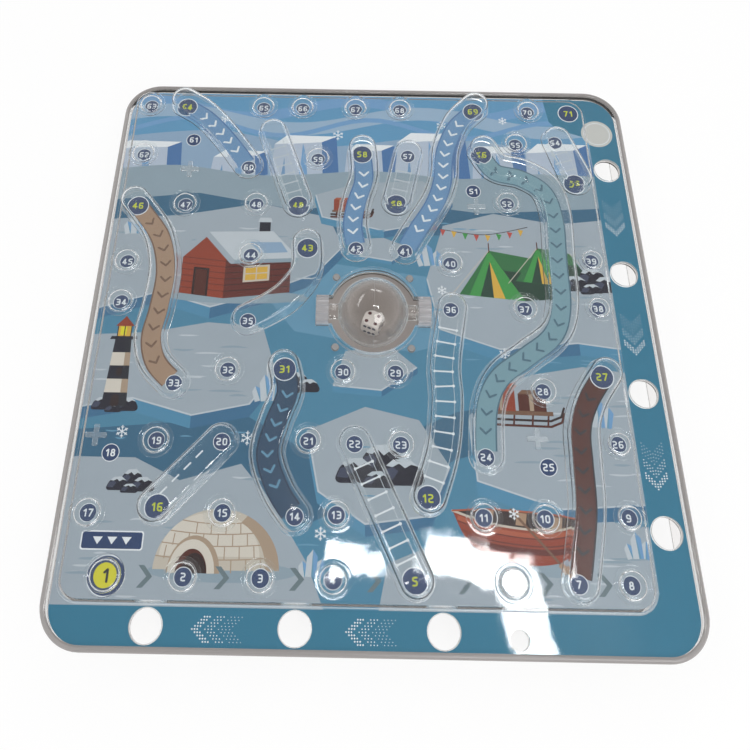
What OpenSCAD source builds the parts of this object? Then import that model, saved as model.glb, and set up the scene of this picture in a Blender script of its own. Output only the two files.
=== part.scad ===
// Track board game in a flat clear case, with slides, ladders and a dice ball on an axle.
// Millimetres. X runs to the right, Y to the back and Z up. The origin is on the table
// under the middle of the case.

/* [Case] */
// Width of the case, left to right
case_w = 290; // [280:1:310]
// Depth of the case, front to back
case_d = 298; // [288:1:320]
// Corner radius of the case in plan
case_r = 20; // [14:1:28]
// Radius of the round bead along the rim
bead_r = 1.8; // [1.7:0.1:2.4]
// Wall of the lip that hangs from the rim
lip_t = 1.5; // [1:0.1:2]
// Height of the lip below the rim's bead
lip_h = 4; // [2:0.5:8]
// Wall of the base plate and its skirt
base_t = 1.2; // [0.8:0.1:1.4]
// Thickness of the printed card
card_t = 0.8; // [0.4:0.1:1.2]
// Distance from the case's edge to the card's edge
card_margin = 4; // [3.8:0.1:5]
// How far the card sits towards the front
card_shift = 1.4; // [0:0.1:1.5]

/* [Cover] */
// Thickness of the clear cover
cover_t = 1.5; // [1:0.1:2.2]
// Free height between the card and the raised field of the cover
field_gap = 1.2; // [0.8:0.1:3]
// Distance from the case's edge to the field at the left and at the back
rim_w = 5; // [4.5:0.1:5.2]
// Width of the low band along the right edge, rim included
band_right = 20; // [19.6:0.1:20.4]
// Width of the low band along the front edge, rim included
band_front = 18; // [17.8:0.1:19]
// Corner radius of the field in plan
field_r = 11; // [9:0.5:13]
// How far the field's edge leans in over its height
field_draft = 1.2; // [0.4:0.1:1.4]
// Diameter of the finger holes in the bands
hole_d = 14; // [10:0.1:14.2]
// Distance between finger holes
hole_pitch = 64; // [56:1:66]
// Distance from the field's edge to a finger hole
hole_gap = 0.4; // [0.3:0.1:0.6]
// Diameter of the hang hole
hang_d = 8.4; // [5:0.1:9]
// How much wider the card's holes are, all around
card_ease = 0.4; // [0:0.1:0.5]

/* [Cells] */
// Radius of a cell's dome
dome_r = 8.4; // [6.4:0.1:8.6]
// Radius of a dome beside the right edge of the field
edge_dome_r = 7.6; // [6.4:0.1:7.7]
// Radius of the start cell's dome
start_r = 9; // [8:0.1:10.5]
// Height of a dome's outer ring
ring_h = 0.8; // [0.5:0.1:1.2]
// Width of a dome's outer ring
ring_step = 1.8; // [1:0.1:2.4]
// Width of the slope around a dome's crown
crown_ease = 0.8; // [0.4:0.1:1.2]
// Height of a dome
dome_h = 2.2; // [1.8:0.1:4]
// Wall of the domes, slides and ladders
shell_t = 0.9; // [0.6:0.1:1.1]

/* [Slides and ladders] */
// Width of a slide or ladder at its foot
run_w = 17.4; // [14:0.1:18]
// Height of a run above the field at its start
run_h_start = 8.5; // [7:0.1:12]
// Height of a run above the field at its end
run_h_end = 5.6; // [4:0.1:7]
// How far a run's side leans in over its height
run_draft = 1.1; // [0.5:0.1:2]
// Rounding along a run's upper edges
run_round = 2.4; // [1.6:0.1:3]

/* [Dice ball] */
// Diameter of the ball
ball_d = 36; // [32:0.5:37]
// Wall of the ball
ball_t = 1; // [0.8:0.1:2]
// Distance of the ball's axle behind the middle of the case
ball_y = 7; // [4:0.5:9]
// Free height under the ball
table_gap = 1; // [1:0.1:5]
// Height of the axle above the card
axle_rise = 0.6; // [0.2:0.1:1.5]
// Free width around the ball
finger_gap = 4.5; // [3.6:0.1:4.6]
// Diameter of the axle stubs
axle_d = 5; // [3:0.1:6]
// Diameter of the collar between the ball and an axle stub
hub_d = 8; // [6.5:0.1:9]
// Radial running clearance of the axle
axle_clear = 0.05; // [0.02:0.01:0.1]
// Length of a bearing along the axle
bearing_l = 6.4; // [5:0.1:7.4]
// Width of a bearing across the axle
bearing_w = 15; // [11:0.1:16]
// Height of a bearing's crown above the field
bearing_rise = 6.6; // [6:0.1:8]
// Width of the collar around the ball's opening
collar_t = 1.8; // [1:0.1:2.4]
// Height of that collar above the field
collar_h = 1.2; // [0.5:0.1:2]
// Diameter of the locating pins around the opening
pin_d = 3.5; // [2.5:0.1:4]
// Distance from the opening's edge to the middle of a pin
pin_gap = 4.6; // [4:0.1:5]
// Edge of the die
die_s = 9.5; // [8:0.1:10.5]
// Diameter of a pip on the die
pip_d = 2; // [1.2:0.1:2]
// Turn of the die about its own upright
die_turn = -22; // [-45:1:45]
// How far the die lies up the front of the ball, as an angle about the axle
die_roll = 12; // [0:1:40]

/* [Supports] */
// Length of an arm of a cross support, end to end
cross_l = 10; // [8:0.1:12]
// Width of an arm of a cross support
cross_w = 2.4; // [1.6:0.1:3]

/* [Hidden] */
$fn = 64;
// Clearance between pieces that slide into one another
fit_gap = 0.3;
// Clearance between loose pieces
loose_gap = 0.3;
// Overlap that keeps a cut clear of the face it cuts
eps = 0.1;
// Free width between a run and a bearing
run_clear = 1;
// Width and depth of the board that the layout below is drawn for
LAYOUT = [290, 298];

ball_r = ball_d / 2;
axle_z = ball_r + table_gap;
card_top = axle_z - axle_rise;
base_top = card_top - card_t;
band_top = card_top + cover_t;
field_under = card_top + field_gap;
field_top = field_under + cover_t;
bead_z = card_top;
lip_bottom = bead_z - lip_h;
lip_w = case_w - 2 * (bead_r - lip_t);
lip_d = case_d - 2 * (bead_r - lip_t);
inner_w = case_w - 2 * bead_r;
inner_d = case_d - 2 * bead_r;
base_w = inner_w - 2 * fit_gap;
base_d = inner_d - 2 * fit_gap;
base_r = case_r - bead_r - fit_gap;
base_in_y = base_d / 2 - base_t;
field_x0 = -case_w / 2 + rim_w;
field_x1 = case_w / 2 - band_right;
field_y0 = -case_d / 2 + band_front;
field_y1 = case_d / 2 - rim_w;
open_r = ball_r + finger_gap;
bearing_x = open_r + fit_gap;
notch_w = bearing_w + 2 * fit_gap;
pin_reach = (open_r + pin_gap) / sqrt(2);
axle_free_x = bearing_x + bearing_l + run_clear + run_w / 2;
axle_free_y = (bearing_w + run_w) / 2 + run_clear;

// Cell centres from 1 to 71, row by row from the front, as drawn on the layout
CELLS = [
    [-118, -119], [-84, -119], [-50, -119], [-18, -119], [18, -119], [61, -119], [90, -119], [113, -119],
    [116, -91], [78, -92], [50, -92], [25, -84], [-17, -92], [-36, -93], [-69, -92], [-99, -90], [-130, -93],
    [-124, -66], [-103, -60], [-72, -60], [-31, -59], [-9, -60], [13, -60], [53, -65], [82, -69], [116, -58],
    [113, -25], [83, -33], [11, -25], [-15, -25], [-44, -24], [-72, -25], [-98, -32],
    [-130, 10], [-64, 1], [40, 9], [78, 10], [116, 11],
    [116, 38], [41, 35], [17, 42], [-9, 43], [-35, 43], [-65, 38], [-130, 33],
    [-129, 67], [-103, 68], [-64, 69], [-41, 69], [13, 71], [56, 80], [74, 72],
    [113, 86], [105, 113], [82, 111], [62, 104], [20, 102], [-6, 103], [-31, 99], [-70, 93], [-103, 111], [-130, 100],
    [-130, 134], [-109, 134], [-64, 134], [-41, 134], [-10, 134], [16, 134], [59, 134], [91, 134], [115, 134]
];
// Cells with no dome of their own: the start, the ends of runs, the supported cells and the finish
BARE_CELLS = [
    1, 5, 7, 12, 14, 16, 18, 20, 22, 24, 25, 27, 31, 33, 35, 36, 41, 42, 43, 46,
    49, 50, 51, 53, 54, 56, 57, 58, 60, 61, 64, 69, 71
];
DOME_CELLS = [for (n = [1 : len(CELLS)]) if (len(search(n, BARE_CELLS)) == 0) n];
// Cells with a smaller dome, beside the right edge of the field
EDGE_CELLS = [9, 26, 38, 39];
// Middles of the cross supports
CROSSES = [[-132, -58], [78, -56], [57, 70], [-103, 91]];
// Way points of each run between its first and its last cell
SLIDE_46_33 = [[-124, 61], [-114, 47], [-109, 28], [-110, 7], [-112, -9], [-108, -22]];
SLIDE_31_14 = [[-42, -36], [-47, -51], [-50, -66], [-44, -82]];
SLIDE_43_35 = [[-35, 28], [-43, 15], [-53, 7]];
SLIDE_58_42 = [[-5, 86], [-9, 71], [-11, 57]];
SLIDE_69_41 = [[48, 122], [41, 104], [39, 86], [34, 71], [25, 56]];
SLIDE_56_24 = [
    [69, 93], [83, 89], [95, 80], [99, 63], [98, 37], [97, 12], [91, -4], [76, -16], [62, -27], [55, -42]
];
SLIDE_64_60 = [[-98, 127], [-89, 118], [-80, 107]];
SLIDE_27_7 = [[104, -38], [99, -51], [98, -66], [97, -87], [93, -107]];
LADDER_12_36 = [[32, -63], [35, -40], [35, -20]];
// Where the ladder from cell 49 ends, short of cell 65
LADDER_49_END = [-57, 115];
// Places of the finger holes along the right band and the front band, and of the hang hole
RIGHT_HOLE_FIRST = -97;
RIGHT_HOLES = 4;
FRONT_HOLE_FIRST = -98;
FRONT_HOLES = 3;
HANG_HOLE_X = 62;

// Smoothness of a run: steps from one way point to the next, and around an end
RUN_STEPS = 3;
END_STEPS = 7;
// How far the middle of a rounding stays from its two faces, as a share of its radius
ROUND_MID = 0.3;

// A point of the layout, stretched onto the case and kept clear of the bearings
function stretched(p) = [p[0] * case_w / LAYOUT[0], p[1] * case_d / LAYOUT[1]];
function off_bearings(q) =
    abs(q[1] - ball_y) < axle_free_y ? [sign(q[0]) * max(abs(q[0]), axle_free_x), q[1]] : q;
function spot(p) = off_bearings(stretched(p));
function cell(n) = spot(CELLS[n - 1]);
function spots(points) = [for (p = points) spot(p)];
function route(first, points, last) = concat([cell(first)], spots(points), [cell(last)]);

// Catmull-Rom curve through a list of points
function kept(points, i) = points[max(0, min(len(points) - 1, i))];
function curve_at(a, b, c, d, t) =
    0.5 * (2 * b + (c - a) * t + (2 * a - 5 * b + 4 * c - d) * t * t + (3 * b - a - 3 * c + d) * t * t * t);
function curve(points) = concat(
    [for (i = [0 : len(points) - 2], s = [0 : RUN_STEPS - 1])
        curve_at(kept(points, i - 1), points[i], points[i + 1], kept(points, i + 2), s / RUN_STEPS)],
    [points[len(points) - 1]]);
function unit(v) = v / norm(v);
function tangent(path, i) = unit(kept(path, i + 1) - kept(path, i - 1));
function left_of(v) = [-v[1], v[0]];

// Closed outline at distance w around a path. Each point is x, y and its share of the way along.
function end_arc(path, i, w, turn, share) = [
    for (k = [1 : END_STEPS])
        let (a = turn - 180 * k / (END_STEPS + 1),
             t = tangent(path, i),
             q = path[i] + w * (cos(a) * t + sin(a) * left_of(t)))
        [q[0], q[1], share]];
function side(path, i, w, share) =
    let (q = path[i] + w * left_of(tangent(path, i)))
    [q[0], q[1], share];
function outline(path, w) =
    let (n = len(path) - 1)
    concat(
        [for (i = [0 : n]) side(path, i, w, i / n)],
        end_arc(path, n, w, 90, 1),
        [for (i = [n : -1 : 0]) side(path, i, -w, i / n)],
        end_arc(path, 0, w, -90, 0));
function run_h(share) = run_h_start + (run_h_end - run_h_start) * share;

// One closed outline of a run's shell, inset from its foot and drop below its top, or on the field
function shell_ring(path, inset, drop, on_field) = [
    for (q = outline(path, run_w / 2 - inset))
        [q[0], q[1], field_top + (on_field ? 0 : run_h(q[2]) - drop)]];
// Faces between two outlines of count points, and faces that close one outline along the path
function band_faces(a, b, count) = [
    for (j = [0 : count - 1])
        let (k = (j + 1) % count)
        [a + j, a + k, b + k, b + j]];
function cap_faces(first, steps) =
    let (m = END_STEPS, far = 2 * steps + m + 1)
    concat(
        [for (i = [0 : steps - 1]) [first + i, first + i + 1, first + far - i - 1, first + far - i]],
        [[for (j = [steps : steps + m + 1]) first + j]],
        [concat([for (j = [far : far + m]) first + j], [first])]);
function reversed(faces) = [for (f = faces) [for (j = [len(f) - 1 : -1 : 0]) f[j]]];

// Rectangle with true round corners
module rounded_rect(w, d, r) {
    square([w - 2 * r, d], center = true);
    square([w, d - 2 * r], center = true);
    for (x = [-1, 1], y = [-1, 1])
        translate([x * (w / 2 - r), y * (d / 2 - r)])
            circle(r);
}

module rounded_plate(w, d, r, z0, z1) {
    translate([0, 0, z0])
        linear_extrude(z1 - z0)
            rounded_rect(w, d, r);
}

// Rounded plate of height h whose sides lean in by draft, made of prisms and quarter cones
module leaning_plate(w, d, r, h, draft) {
    x = w / 2 - r;
    y = d / 2 - r;
    rotate([90, 0, 0])
        linear_extrude(2 * y, center = true)
            polygon([[-w / 2, 0], [w / 2, 0], [w / 2 - draft, h], [draft - w / 2, h]]);
    for (q = [0 : 3])
        rotate([0, 0, 90 * q]) {
            even = q % 2 == 0;
            across = even ? x : y;
            along = even ? y : x;
            if (!even)
                translate([across, 0, 0])
                    rotate([90, 0, 0])
                        linear_extrude(2 * along, center = true)
                            polygon([[0, 0], [r, 0], [r - draft, h], [0, h]]);
            translate([across, along, 0])
                rotate_extrude(angle = 90)
                    polygon([[0, 0], [r, 0], [r - draft, h], [0, h]]);
        }
}

// Block under the raised field, drawn in from its outline
module field_block(inset, z0, z1) {
    translate([(field_x0 + field_x1) / 2, (field_y0 + field_y1) / 2, z0])
        leaning_plate(
            field_x1 - field_x0 - 2 * inset, field_y1 - field_y0 - 2 * inset, field_r - inset,
            z1 - z0, field_draft);
}

// Round bead along the outline of the rim
module rim_bead() {
    mid_w = inner_w / 2;
    mid_d = inner_d / 2;
    turn_r = case_r - bead_r;
    translate([0, 0, bead_z]) {
        for (x = [-1, 1])
            translate([x * mid_w, 0, 0])
                rotate([90, 0, 0])
                    cylinder(h = 2 * (mid_d - turn_r), r = bead_r, center = true);
        for (y = [-1, 1])
            translate([0, y * mid_d, 0])
                rotate([0, 90, 0])
                    cylinder(h = 2 * (mid_w - turn_r), r = bead_r, center = true);
        for (q = [0 : 3]) {
            x = (q == 0 || q == 3) ? 1 : -1;
            y = q < 2 ? 1 : -1;
            translate([x * (mid_w - turn_r), y * (mid_d - turn_r), 0])
                rotate([0, 0, 90 * q])
                    rotate_extrude(angle = 90)
                        translate([turn_r, 0])
                            circle(bead_r);
        }
    }
}

// Finger holes and the hang hole, right through the bands, wider by extra all around
module band_holes(extra, z0, z1) {
    reach = hole_gap + hole_d / 2;
    translate([0, 0, z0]) {
        for (i = [0 : RIGHT_HOLES - 1])
            translate([field_x1 + reach, RIGHT_HOLE_FIRST + i * hole_pitch, 0])
                cylinder(h = z1 - z0, d = hole_d + 2 * extra);
        for (i = [0 : FRONT_HOLES - 1])
            translate([FRONT_HOLE_FIRST + i * hole_pitch, field_y0 - reach, 0])
                cylinder(h = z1 - z0, d = hole_d + 2 * extra);
        translate([HANG_HOLE_X, hole_gap + hang_d / 2 - base_in_y, 0])
            cylinder(h = z1 - z0, d = hang_d + 2 * extra);
    }
}

// Round opening for the ball, with a notch on each side for its bearings
module ball_opening(z0, z1) {
    translate([0, ball_y, z0]) {
        cylinder(h = z1 - z0, r = open_r);
        translate([-bearing_x - bearing_l - fit_gap, -notch_w / 2, 0])
            cube([2 * (bearing_x + bearing_l + fit_gap), notch_w, z1 - z0]);
    }
}

// Pins around the opening, as holes when wider by extra
module pins(extra, z0, z1) {
    for (x = [-1, 1], y = [-1, 1])
        translate([x * pin_reach, ball_y + y * pin_reach, z0])
            cylinder(h = z1 - z0, d = pin_d + 2 * extra);
}

module base_tray() {
    color([0.72, 0.70, 0.68, 0.5])
        difference() {
            rounded_plate(base_w, base_d, base_r, 0, base_top);
            rounded_plate(base_w - 2 * base_t, base_d - 2 * base_t, base_r - base_t, -eps, base_top - base_t);
            ball_opening(-eps, base_top + eps);
            band_holes(0, -eps, base_top + eps);
        }
}

module printed_card() {
    color([0.60, 0.74, 0.82])
        difference() {
            translate([0, -card_shift, 0])
                rounded_plate(
                    case_w - 2 * card_margin, case_d - 2 * card_margin, case_r - card_margin,
                    base_top, card_top);
            ball_opening(base_top - eps, card_top + eps);
            band_holes(card_ease, base_top - eps, card_top + eps);
            pins(fit_gap, base_top - eps, card_top + eps);
        }
}

module top_cover() {
    color([0.85, 0.90, 0.92, 0.35])
        difference() {
            union() {
                difference() {
                    union() {
                        rounded_plate(inner_w, inner_d, case_r - bead_r, card_top, band_top);
                        field_block(0, card_top, field_top);
                    }
                    field_block(cover_t, card_top, field_under);
                }
                difference() {
                    rounded_plate(lip_w, lip_d, case_r - bead_r + lip_t, lip_bottom, bead_z);
                    rounded_plate(inner_w, inner_d, case_r - bead_r, lip_bottom - eps, bead_z + eps);
                }
                difference() {
                    rim_bead();
                    rounded_plate(inner_w, inner_d, case_r - bead_r, bead_z - bead_r - eps, bead_z);
                }
                translate([0, ball_y, card_top])
                    cylinder(h = field_top + collar_h - card_top, r = open_r + collar_t);
            }
            ball_opening(card_top - eps, field_top + collar_h + eps);
            band_holes(0, card_top - eps, band_top + eps);
        }
}

// Stepped round cap, hollow from below
module dome(r) {
    crown_r = r - ring_step;
    top_r = crown_r - crown_ease;
    knee = dome_h - crown_ease / 2;
    rotate_extrude()
        difference() {
            polygon([
                [0, 0], [r, 0], [r, ring_h], [crown_r, ring_h],
                [crown_r, knee], [top_r, dome_h], [0, dome_h]
            ]);
            polygon([
                [0, -eps], [crown_r - shell_t, -eps], [crown_r - shell_t, knee - shell_t],
                [top_r - shell_t, dome_h - shell_t], [0, dome_h - shell_t]
            ]);
        }
}

module cell_domes() {
    color([0.88, 0.93, 0.95, 0.35])
        for (n = DOME_CELLS)
            translate([cell(n)[0], cell(n)[1], field_top])
                dome(len(search(n, EDGE_CELLS)) == 0 ? dome_r : edge_dome_r);
}

module start_dome() {
    color([0.88, 0.93, 0.95, 0.35])
        translate([cell(1)[0], cell(1)[1], field_top])
            dome(start_r);
}

// Clear shell of a slide or ladder along a route, highest at its first point
module run(points, tint) {
    path = curve(points);
    steps = len(path) - 1;
    count = 2 * (steps + 1) + 2 * END_STEPS;
    inner_round = run_round - shell_t;
    inner_mid = shell_t + inner_round * ROUND_MID;
    rings = concat(
        shell_ring(path, 0, 0, true),
        shell_ring(path, run_draft, run_round, false),
        shell_ring(path, run_draft + run_round * ROUND_MID, run_round * ROUND_MID, false),
        shell_ring(path, run_draft + run_round, 0, false),
        shell_ring(path, run_draft + run_round, shell_t, false),
        shell_ring(path, run_draft + inner_mid, inner_mid, false),
        shell_ring(path, run_draft + shell_t, run_round, false),
        shell_ring(path, shell_t, 0, true));
    outer_top = 3;
    inner_top = 4;
    foot = 7;
    faces = concat(
        [for (k = [0 : outer_top - 1]) each band_faces(k * count, (k + 1) * count, count)],
        cap_faces(outer_top * count, steps),
        reversed(cap_faces(inner_top * count, steps)),
        [for (k = [inner_top : foot - 1]) each band_faces(k * count, (k + 1) * count, count)],
        band_faces(foot * count, 0, count));
    color(tint)
        polyhedron(points = rings, faces = faces);
}

module slide_46_to_33() { run(route(46, SLIDE_46_33, 33), [0.74, 0.58, 0.46, 0.5]); }
module slide_31_to_14() { run(route(31, SLIDE_31_14, 14), [0.20, 0.36, 0.52, 0.5]); }
module slide_43_to_35() { run(route(43, SLIDE_43_35, 35), [0.80, 0.88, 0.92, 0.5]); }
module slide_58_to_42() { run(route(58, SLIDE_58_42, 42), [0.42, 0.62, 0.78, 0.5]); }
module slide_69_to_41() { run(route(69, SLIDE_69_41, 41), [0.42, 0.62, 0.78, 0.5]); }
module slide_56_to_24() { run(route(56, SLIDE_56_24, 24), [0.46, 0.68, 0.74, 0.5]); }
module slide_64_to_60() { run(route(64, SLIDE_64_60, 60), [0.42, 0.62, 0.78, 0.5]); }
module slide_27_to_7() { run(route(27, SLIDE_27_7, 7), [0.45, 0.28, 0.20, 0.5]); }
module ladder_5_to_22() { run(route(5, [], 22), [0.86, 0.92, 0.95, 0.5]); }
module ladder_12_to_36() { run(route(12, LADDER_12_36, 36), [0.86, 0.92, 0.95, 0.5]); }
module ladder_16_to_20() { run(route(16, [], 20), [0.86, 0.92, 0.95, 0.5]); }
module ladder_49_to_65() { run([cell(49), spot(LADDER_49_END)], [0.86, 0.92, 0.95, 0.5]); }
module ladder_50_to_57() { run(route(50, [], 57), [0.86, 0.92, 0.95, 0.5]); }
module ladder_53_to_54() { run(route(53, [], 54), [0.86, 0.92, 0.95, 0.5]); }

// Cross-shaped posts that hold the cover off the card
module support_crosses() {
    color([0.88, 0.93, 0.95, 0.4])
        for (p = CROSSES)
            translate([spot(p)[0], spot(p)[1], card_top])
                linear_extrude(field_gap) {
                    square([cross_l, cross_w], center = true);
                    square([cross_w, cross_l], center = true);
                }
}

module locating_pins() {
    color([0.70, 0.66, 0.62])
        pins(0, base_top, field_under);
}

// Upper half of a bearing: an arched block with ribs over its crown and half of the axle's bore
module bearing_cap() {
    arch_r = bearing_w / 2;
    arch_z = field_top + bearing_rise - arch_r;
    rib_r = 0.6;
    rib_turn = 30;
    rotate([90, 0, 90])
        difference() {
            union() {
                linear_extrude(bearing_l) {
                    translate([-arch_r, axle_z])
                        square([bearing_w, arch_z - axle_z]);
                    intersection() {
                        translate([0, arch_z])
                            circle(arch_r);
                        translate([-bearing_w, axle_z])
                            square([2 * bearing_w, 2 * bearing_w]);
                    }
                }
                for (a = [rib_turn : rib_turn : 180 - rib_turn])
                    translate([arch_r * cos(a), arch_z + arch_r * sin(a), 0])
                        cylinder(h = bearing_l, r = rib_r);
            }
            translate([0, axle_z, -eps])
                cylinder(h = bearing_l + 2 * eps, r = axle_d / 2 + axle_clear);
        }
}

// Lower half of a bearing, with ears that hold it under the base plate
module bearing_saddle() {
    saddle_h = axle_d / 2 + 3;
    ear_w = bearing_w + 8;
    ear_t = 1.6;
    ear_z = base_top - base_t - ear_t;
    rotate([90, 0, 90])
        difference() {
            linear_extrude(bearing_l) {
                translate([-bearing_w / 2, axle_z - saddle_h])
                    square([bearing_w, saddle_h]);
                translate([-ear_w / 2, ear_z])
                    square([ear_w, ear_t]);
            }
            translate([0, axle_z, -eps])
                cylinder(h = bearing_l + 2 * eps, r = axle_d / 2 + axle_clear);
        }
}

// Puts a bearing's right-hand half, or its mirror image, beside the ball
module on_side(s) {
    mirror([s < 0 ? 1 : 0, 0, 0])
        translate([bearing_x, ball_y, 0])
            children();
}

module bearing_cap_left() { color([0.82, 0.84, 0.86, 0.5]) on_side(-1) bearing_cap(); }
module bearing_cap_right() { color([0.82, 0.84, 0.86, 0.5]) on_side(1) bearing_cap(); }
module bearing_saddle_left() { color([0.72, 0.70, 0.68, 0.5]) on_side(-1) bearing_saddle(); }
module bearing_saddle_right() { color([0.72, 0.70, 0.68, 0.5]) on_side(1) bearing_saddle(); }

// Right-hand half of the ball: half a hollow sphere with its hub and axle stub
module ball_half() {
    axle_end = bearing_x + bearing_l - loose_gap;
    hub_end = bearing_x - loose_gap;
    hub_start = sqrt(ball_r * ball_r - hub_d * hub_d / 4) - ball_t / 2;
    translate([0, ball_y, axle_z]) {
        difference() {
            sphere(r = ball_r);
            sphere(r = ball_r - ball_t);
            translate([-2 * ball_r, -2 * ball_r, -2 * ball_r])
                cube([2 * ball_r, 4 * ball_r, 4 * ball_r]);
        }
        rotate([0, 90, 0]) {
            translate([0, 0, hub_start])
                cylinder(h = hub_end - hub_start, d = hub_d);
            translate([0, 0, hub_start])
                cylinder(h = axle_end - hub_start, d = axle_d);
        }
    }
}

module dice_ball_left() { color([0.86, 0.86, 0.86, 0.35]) mirror([1, 0, 0]) ball_half(); }
module dice_ball_right() { color([0.86, 0.86, 0.86, 0.35]) ball_half(); }

// Places of the pips on a face of n, from -1 to 1 across the face
function pips(n) = concat(
    n % 2 == 1 ? [[0, 0]] : [],
    n > 1 ? [[-1, -1], [1, 1]] : [],
    n > 3 ? [[-1, 1], [1, -1]] : [],
    n == 6 ? [[0, -1], [0, 1]] : []);
// Turns that bring the top of the die to each face, for 1 to 6
FACE_TURNS = [[0, 90, 0], [0, -90, 0], [180, 0, 0], [0, 0, 0], [-90, 0, 0], [90, 0, 0]];
FACE_PIPS = [5, 2, 3, 4, 1, 6];

// Die with rounded corners, lying low in the front of the ball
module die() {
    corner_r = die_s * 0.72;
    pip_step = die_s * 0.26;
    pip_sink = 0.25;
    drop = sqrt(pow(ball_r - ball_t - loose_gap, 2) - die_s * die_s / 2) - die_s / 2;
    color([0.95, 0.95, 0.93])
        translate([0, ball_y, axle_z])
            rotate([-die_roll, 0, 0])
                translate([0, 0, -drop])
                    rotate([0, 0, die_turn])
                        difference() {
                            intersection() {
                                cube(die_s, center = true);
                                sphere(r = corner_r);
                            }
                            for (f = [0 : 5], p = pips(FACE_PIPS[f]))
                                rotate(FACE_TURNS[f])
                                    translate([p[0] * pip_step, p[1] * pip_step, die_s / 2 - pip_sink])
                                        cylinder(h = pip_sink + eps, d = pip_d);
                        }
}

base_tray();
printed_card();
top_cover();
cell_domes();
start_dome();
slide_46_to_33();
slide_31_to_14();
slide_43_to_35();
slide_58_to_42();
slide_69_to_41();
slide_56_to_24();
slide_64_to_60();
slide_27_to_7();
ladder_5_to_22();
ladder_12_to_36();
ladder_16_to_20();
ladder_49_to_65();
ladder_50_to_57();
ladder_53_to_54();
support_crosses();
locating_pins();
bearing_cap_left();
bearing_cap_right();
bearing_saddle_left();
bearing_saddle_right();
dice_ball_left();
dice_ball_right();
die();
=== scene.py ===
# Looks of a track board game in a clear case: printed card, clear cover with domes, slides and
# ladders, and a dice ball on an axle. Lengths are in millimetres until a mesh is made.
import math
import random

import bmesh
import bpy
import numpy as np
from mathutils import Matrix, Quaternion, Vector
from mathutils.geometry import delaunay_2d_cdt

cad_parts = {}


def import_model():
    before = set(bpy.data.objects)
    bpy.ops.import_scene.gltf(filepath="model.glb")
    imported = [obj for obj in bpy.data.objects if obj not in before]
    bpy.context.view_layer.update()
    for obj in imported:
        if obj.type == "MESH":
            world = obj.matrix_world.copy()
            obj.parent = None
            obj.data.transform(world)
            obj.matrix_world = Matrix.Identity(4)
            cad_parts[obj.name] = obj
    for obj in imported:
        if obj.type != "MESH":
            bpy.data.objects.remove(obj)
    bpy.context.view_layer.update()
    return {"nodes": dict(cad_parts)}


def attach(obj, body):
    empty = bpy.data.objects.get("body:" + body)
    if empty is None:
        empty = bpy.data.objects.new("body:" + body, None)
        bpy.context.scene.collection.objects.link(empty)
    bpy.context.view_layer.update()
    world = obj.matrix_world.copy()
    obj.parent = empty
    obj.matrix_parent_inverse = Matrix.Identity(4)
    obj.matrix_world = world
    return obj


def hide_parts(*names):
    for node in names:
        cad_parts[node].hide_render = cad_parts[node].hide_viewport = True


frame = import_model()
scene = bpy.context.scene
NODES = frame["nodes"]
MM = 0.001
dice = random.Random(71)

# Sizes repeated from the part's source
FIELD_TOP = 21.1
CARD_TOP = 18.30
CARD_LOW = 17.66
CARD_X, CARD_Y0, CARD_Y1, CARD_R = 141.0, -146.4, 143.6, 16.0
FIELD_X1, FIELD_Y0 = 125.0, -131.0
DOME_R, EDGE_DOME_R, START_R = 8.4, 7.6, 9.0
RING_H, RING_STEP, CROWN_EASE, DOME_H, SHELL_T = 0.8, 1.8, 0.8, 2.2, 0.9
RUN_W, RUN_H0, RUN_H1, RUN_DRAFT, RUN_ROUND = 17.4, 8.5, 5.6, 1.1, 2.4
BALL_R, BALL_T, BALL_Y, AXLE_Z = 18.0, 1.0, 7.0, 19.0
HUB_R, AXLE_R, HUB_END, AXLE_END = 4.0, 2.5, 22.5, 28.9
OPEN_R, NOTCH_X, NOTCH_W = 22.5, 29.5, 15.6
PIN_REACH, PIN_HOLE_R = 19.163, 2.05
DIE_S, DIE_TURN, DIE_ROLL, DIE_DROP = 9.5, -22.0, 12.0, 10.5394
# Air left between pieces that touch, so that no two clear faces share a place
SEAM = 0.02

CELLS = [
    (-118, -119), (-84, -119), (-50, -119), (-18, -119), (18, -119), (61, -119), (90, -119), (113, -119),
    (116, -91), (78, -92), (50, -92), (25, -84), (-17, -92), (-36, -93), (-69, -92), (-99, -90), (-130, -93),
    (-124, -66), (-103, -60), (-72, -60), (-31, -59), (-9, -60), (13, -60), (53, -65), (82, -69), (116, -58),
    (113, -25), (83, -33), (11, -25), (-15, -25), (-44, -24), (-72, -25), (-98, -32),
    (-130, 10), (-64, 1), (40, 9), (78, 10), (116, 11),
    (116, 38), (41, 35), (17, 42), (-9, 43), (-35, 43), (-65, 38), (-130, 33),
    (-129, 67), (-103, 68), (-64, 69), (-41, 69), (13, 71), (56, 80), (74, 72),
    (113, 86), (105, 113), (82, 111), (62, 104), (20, 102), (-6, 103), (-31, 99), (-70, 93), (-103, 111), (-130, 100),
    (-130, 134), (-109, 134), (-64, 134), (-41, 134), (-10, 134), (16, 134), (59, 134), (91, 134), (115, 134),
]
BARE = {
    1, 5, 7, 12, 14, 16, 18, 20, 22, 24, 25, 27, 31, 33, 35, 36, 41, 42, 43, 46,
    49, 50, 51, 53, 54, 56, 57, 58, 60, 61, 64, 69, 71,
}
EDGE_CELLS = {9, 26, 38, 39}
BIG = {5, 12, 16, 27, 31, 43, 46, 49, 50, 53, 56, 58, 64, 69, 71}
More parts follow.
